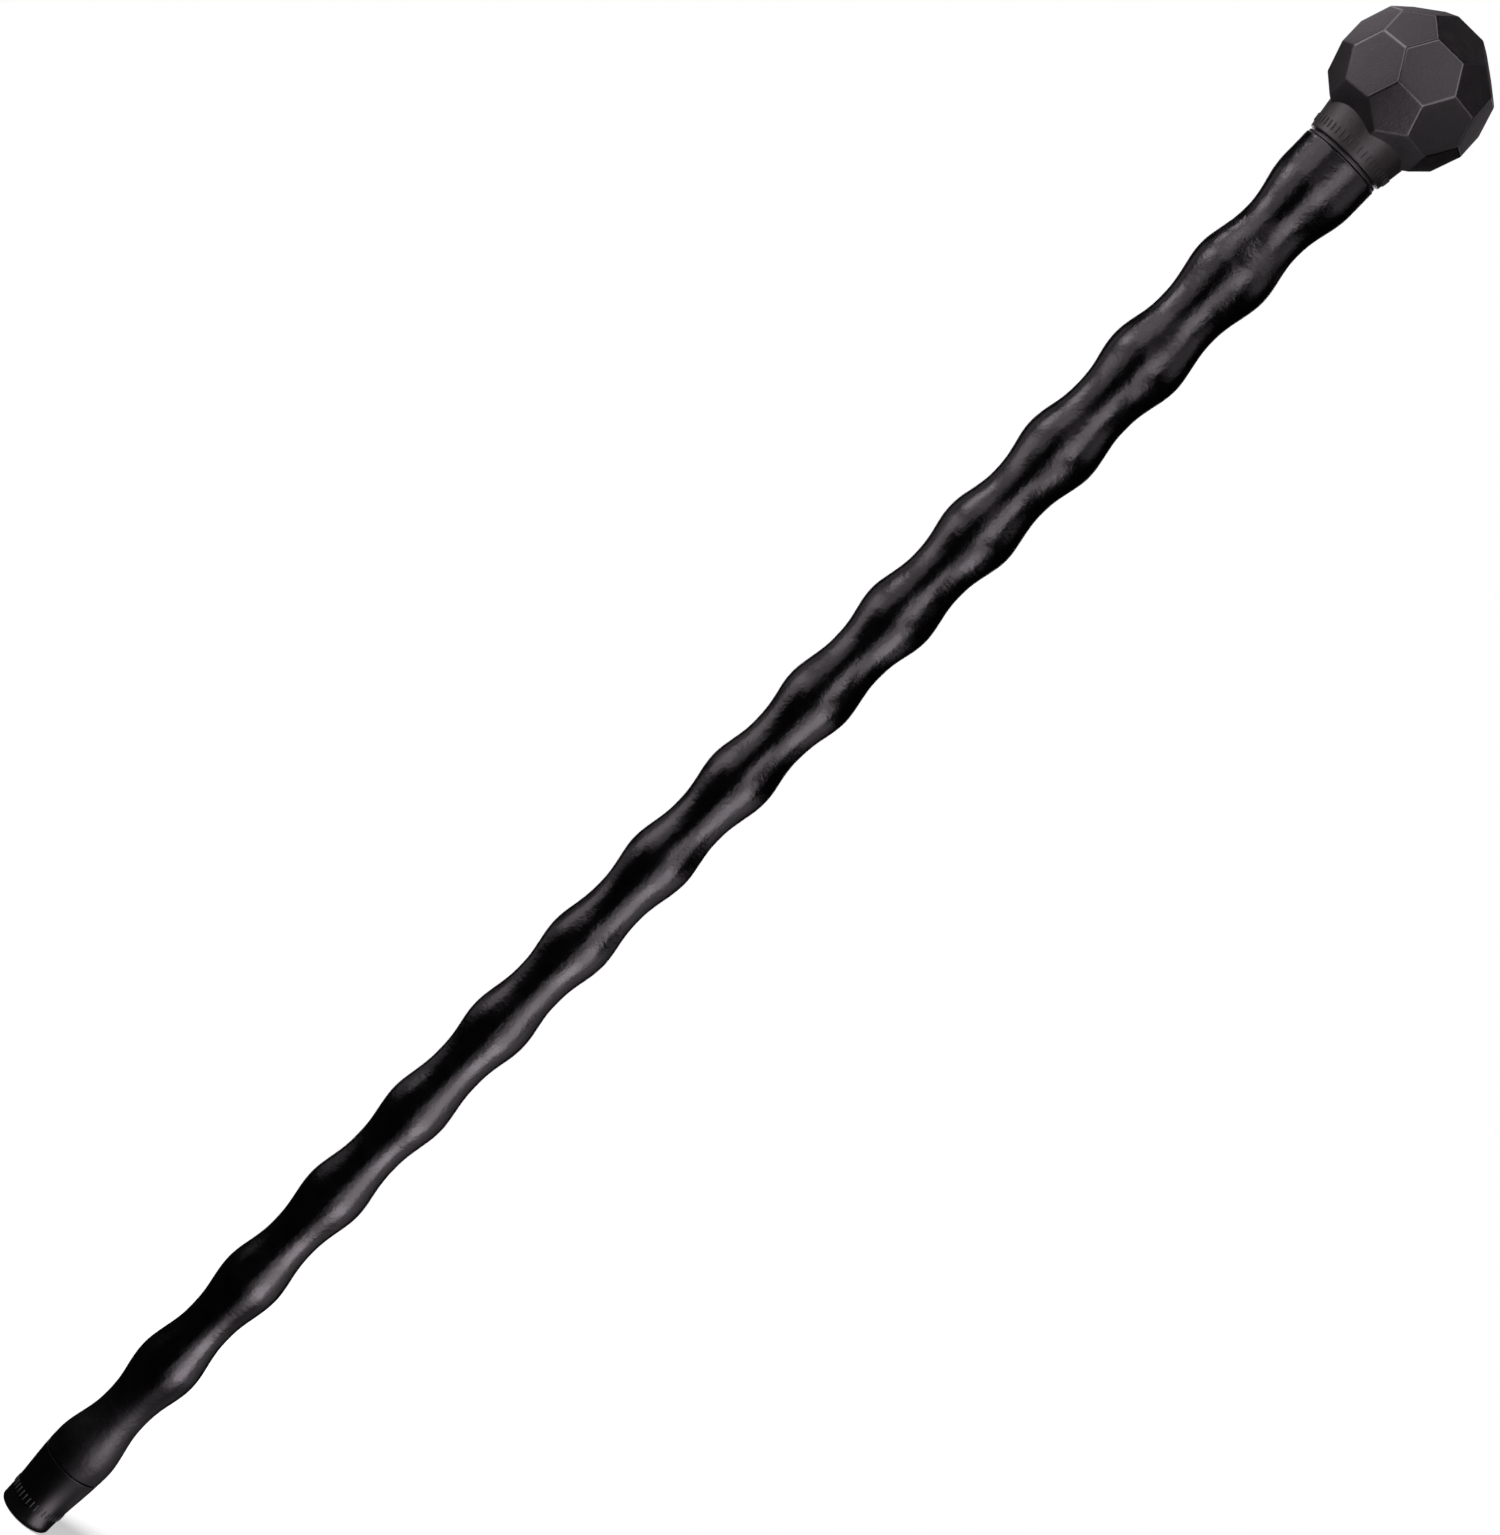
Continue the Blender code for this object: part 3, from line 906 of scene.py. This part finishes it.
lamp = bpy.data.objects.new("soft_lamp", bpy.data.lights.new("soft_lamp", "SUN"))
lamp.data.energy = LAMP_STRENGTH
lamp.data.angle = LAMP_SPREAD
toward = Vector((
    math.sin(LAMP_SIDE) * math.cos(LAMP_HEIGHT),
    -math.cos(LAMP_SIDE) * math.cos(LAMP_HEIGHT),
    math.sin(LAMP_HEIGHT),
))
lamp.rotation_euler = toward.to_track_quat("Z", "Y").to_euler()
lamp.visible_glossy = False
bpy.context.scene.collection.objects.link(lamp)

# Light panels
# Curved panels of lit cloth, a touch pink, hang round the stick half a metre off, one behind another,
# and run in along the floor toward the foot. They show only in the gloss, as long soft bands.
PANEL_DISTANCE = 0.5
PANEL_SPACING = 0.002
PANEL_STEPS = 24
SOFT_HEIGHT = 0.045
FLOOR_PANEL_HEIGHT = 0.001
FOOT_SIGHT = 0.08
# Each panel's name, its sides in degrees round from the camera toward +X, by how many degrees they fade
# to either side, its bottom and top, and its brightness. What is below zero lies on the floor.
PANELS = (
    ("key", (38, 78), 10, (-0.03, 0.38), 3.9),
    ("key_lower", (34, 76), 10, (-0.07, 0.14), 2.2),
    ("key_waist", (38, 70), 8, (0.37, 0.45), 4.5),
    ("key_spill", (14, 40), 8, (0.1, 0.46), 1.5),
    ("key_low", (14, 30), 8, (-0.04, 0.12), 0.6),
    ("key_right", (84, 104), 10, (-0.04, 0.42), 0.9),
    ("key_far", (104, 130), 10, (-0.04, 0.42), 0.3),
    ("key_middle", (20, 64), 12, (0.46, 0.58), 2.3),
    ("key_top", (5, 28), 5, (0.52, 0.86), 2.1),
    ("key_top_core", (10, 24), 5, (0.64, 0.8), 0.8),
    ("key_spot", (4, 34), 6, (0.81, 0.87), 1.0),
    ("key_glow", (26, 44), 8, (0.68, 0.84), 4.0),
    ("key_brow", (12, 48), 10, (0.86, 1.0), 3.0),
    ("right_side", (60, 92), 10, (0.78, 0.9), 0.4),
    ("right_brow", (56, 100), 12, (0.86, 1.04), 0.5),
    ("right_ridge", (70, 86), 6, (1.06, 1.14), 1.0),
    ("key_crown", (24, 70), 12, (1.04, 1.2), 1.4),
    ("floor", (32, 74), 12, (-0.16, -0.05), 1.5),
    ("floor_middle", (32, 74), 12, (-1.0, -0.2), 0.4),
    ("floor_right", (74, 130), 12, (-1.0, -0.04), 0.2),
    ("floor_near", (30, 64), 12, (-2.4, -0.9), 3.0),
    ("left_low", (-128, -80), 12, (0.14, 0.32), 0.35),
    ("left", (-104, -66), 8, (0.3, 0.62), 1.6),
    ("left_middle", (-94, -56), 10, (0.46, 0.62), 0.9),
    ("left_upper", (-101, -66), 5, (0.68, 0.88), 1.9),
    ("left_rim", (-130, -108), 6, (0.38, 0.86), 0.3),
    ("left_bright", (-95, -74), 5, (0.7, 0.86), 1.2),
    ("left_core", (-90, -80), 5, (0.76, 0.84), 2.4),
    ("left_ridge", (-108, -94), 6, (0.95, 1.02), 6.0),
    ("left_fill", (-66, -38), 8, (0.46, 0.84), 1.0),
    ("front_left", (-90, -34), 8, (0.86, 1.1), 1.6),
    ("front_left_core", (-64, -40), 5, (0.86, 0.9), 0.9),
    ("middle_spot", (-6, 8), 6, (0.79, 0.86), 1.1),
    ("middle_brow", (-24, 4), 8, (0.86, 0.98), 0.6),
    ("back_left", (-165, -125), 12, (1.0, 1.3), 0.75),
    ("back_right", (130, 170), 12, (0.98, 1.2), 0.28),
    ("back", (166, 194), 8, (0.05, 1.05), 2.5),
    ("left_top", (-120, -62), 10, (1.16, 2.0), 1.6),
    ("ridge_light", (-88, -54), 8, (1.06, 1.26), 2.3),
    ("front_top", (-24, 34), 10, (1.14, 1.6), 2.6),
    ("ceiling", (60, 190), 15, (1.3, 2.4), 0.1),
)


def soft_edge(share):
    """0 at a panel's outer edge, rising smoothly to 1."""
    share = min(1.0, max(0.0, share))
    return share * share * (3 - 2 * share)


def light_panel(name, sides, fade, heights, strength, distance):
    """A panel round the stick, soft at its edges. What would hang below the floor runs in along it, to
    where it looks the same from FOOT_SIGHT up the stick."""
    low, high = heights[0] - SOFT_HEIGHT, heights[1] + SOFT_HEIGHT
    left, right = sides[0] - fade, sides[1] + fade
    points = []
    glows = []
    for i in range(PANEL_STEPS + 1):
        level = low + (high - low) * i / PANEL_STEPS
        away = distance if level > 0 else distance * FOOT_SIGHT / (FOOT_SIGHT - level)
        along = soft_edge(min(level - low, high - level) / SOFT_HEIGHT / 2)
        for j in range(PANEL_STEPS + 1):
            side = left + (right - left) * j / PANEL_STEPS
            angle = math.radians(side)
            place = (away * math.sin(angle), -away * math.cos(angle), max(level, FLOOR_PANEL_HEIGHT))
            points.append(place)
            glows.append(along * soft_edge(min(side - left, right - side) / fade / 2))
    row = PANEL_STEPS + 1
    corners = [(i * row + j) for i in range(PANEL_STEPS) for j in range(PANEL_STEPS)]
    mesh = bpy.data.meshes.new(name)
    mesh.from_pydata(points, [], [(c, c + 1, c + row + 1, c + row) for c in corners])
    mesh.attributes.new("glow", "FLOAT", "POINT").data.foreach_set("value", glows)
    cloth, tree, shader = new_material(name)
    tree.nodes.remove(shader)
    glow = add_node(tree, "ShaderNodeAttribute", attribute_name="glow").outputs["Fac"]
    level = add_node(tree, "ShaderNodeMath", {0: glow, 1: strength}, operation="MULTIPLY")
    light = add_node(
        tree,
        "ShaderNodeEmission",
        {"Color": linear("#fff3fd"), "Strength": level.outputs["Value"]},
    )
    clear = add_node(tree, "ShaderNodeBsdfTransparent")
    both = add_node(
        tree,
        "ShaderNodeAddShader",
        {0: clear.outputs["BSDF"], 1: light.outputs["Emission"]},
    )
    tree.links.new(both.outputs["Shader"], tree.nodes["Material Output"].inputs["Surface"])
    mesh.materials.append(cloth)
    panel = bpy.data.objects.new(name, mesh)
    bpy.context.scene.collection.objects.link(panel)
    panel.visible_camera = False
    panel.visible_diffuse = False
    panel.visible_transmission = False
    panel.visible_shadow = False


for index, (name, sides, fade, heights, strength) in enumerate(PANELS):
    light_panel("panel_" + name, sides, fade, heights, strength, PANEL_DISTANCE + PANEL_SPACING * index)

# Camera
# Level with the upper third of the stick, 1.7 m in front of it, and rolled so that the stick lies along
# the picture's diagonal.
CAMERA_PLACE = Vector((0.0, -1.678, 0.678))
CAMERA_AIM = Vector((0.0, 0.0, 0.4915))
CAMERA_ROLL = math.radians(44.24)
LENS = 86.96
SENSOR_WIDTH = 36.0

camera = bpy.data.objects.new("camera", bpy.data.cameras.new("camera"))
bpy.context.scene.collection.objects.link(camera)
camera.data.lens = LENS
camera.data.sensor_width = SENSOR_WIDTH
camera.location = CAMERA_PLACE
level_view = (CAMERA_AIM - CAMERA_PLACE).to_track_quat("-Z", "Y").to_matrix()
camera.rotation_euler = (level_view @ Matrix.Rotation(CAMERA_ROLL, 3, "Z")).to_euler()
bpy.context.scene.camera = camera
bpy.context.scene.view_settings.view_transform = "Standard"

bpy.context.view_layer.update()
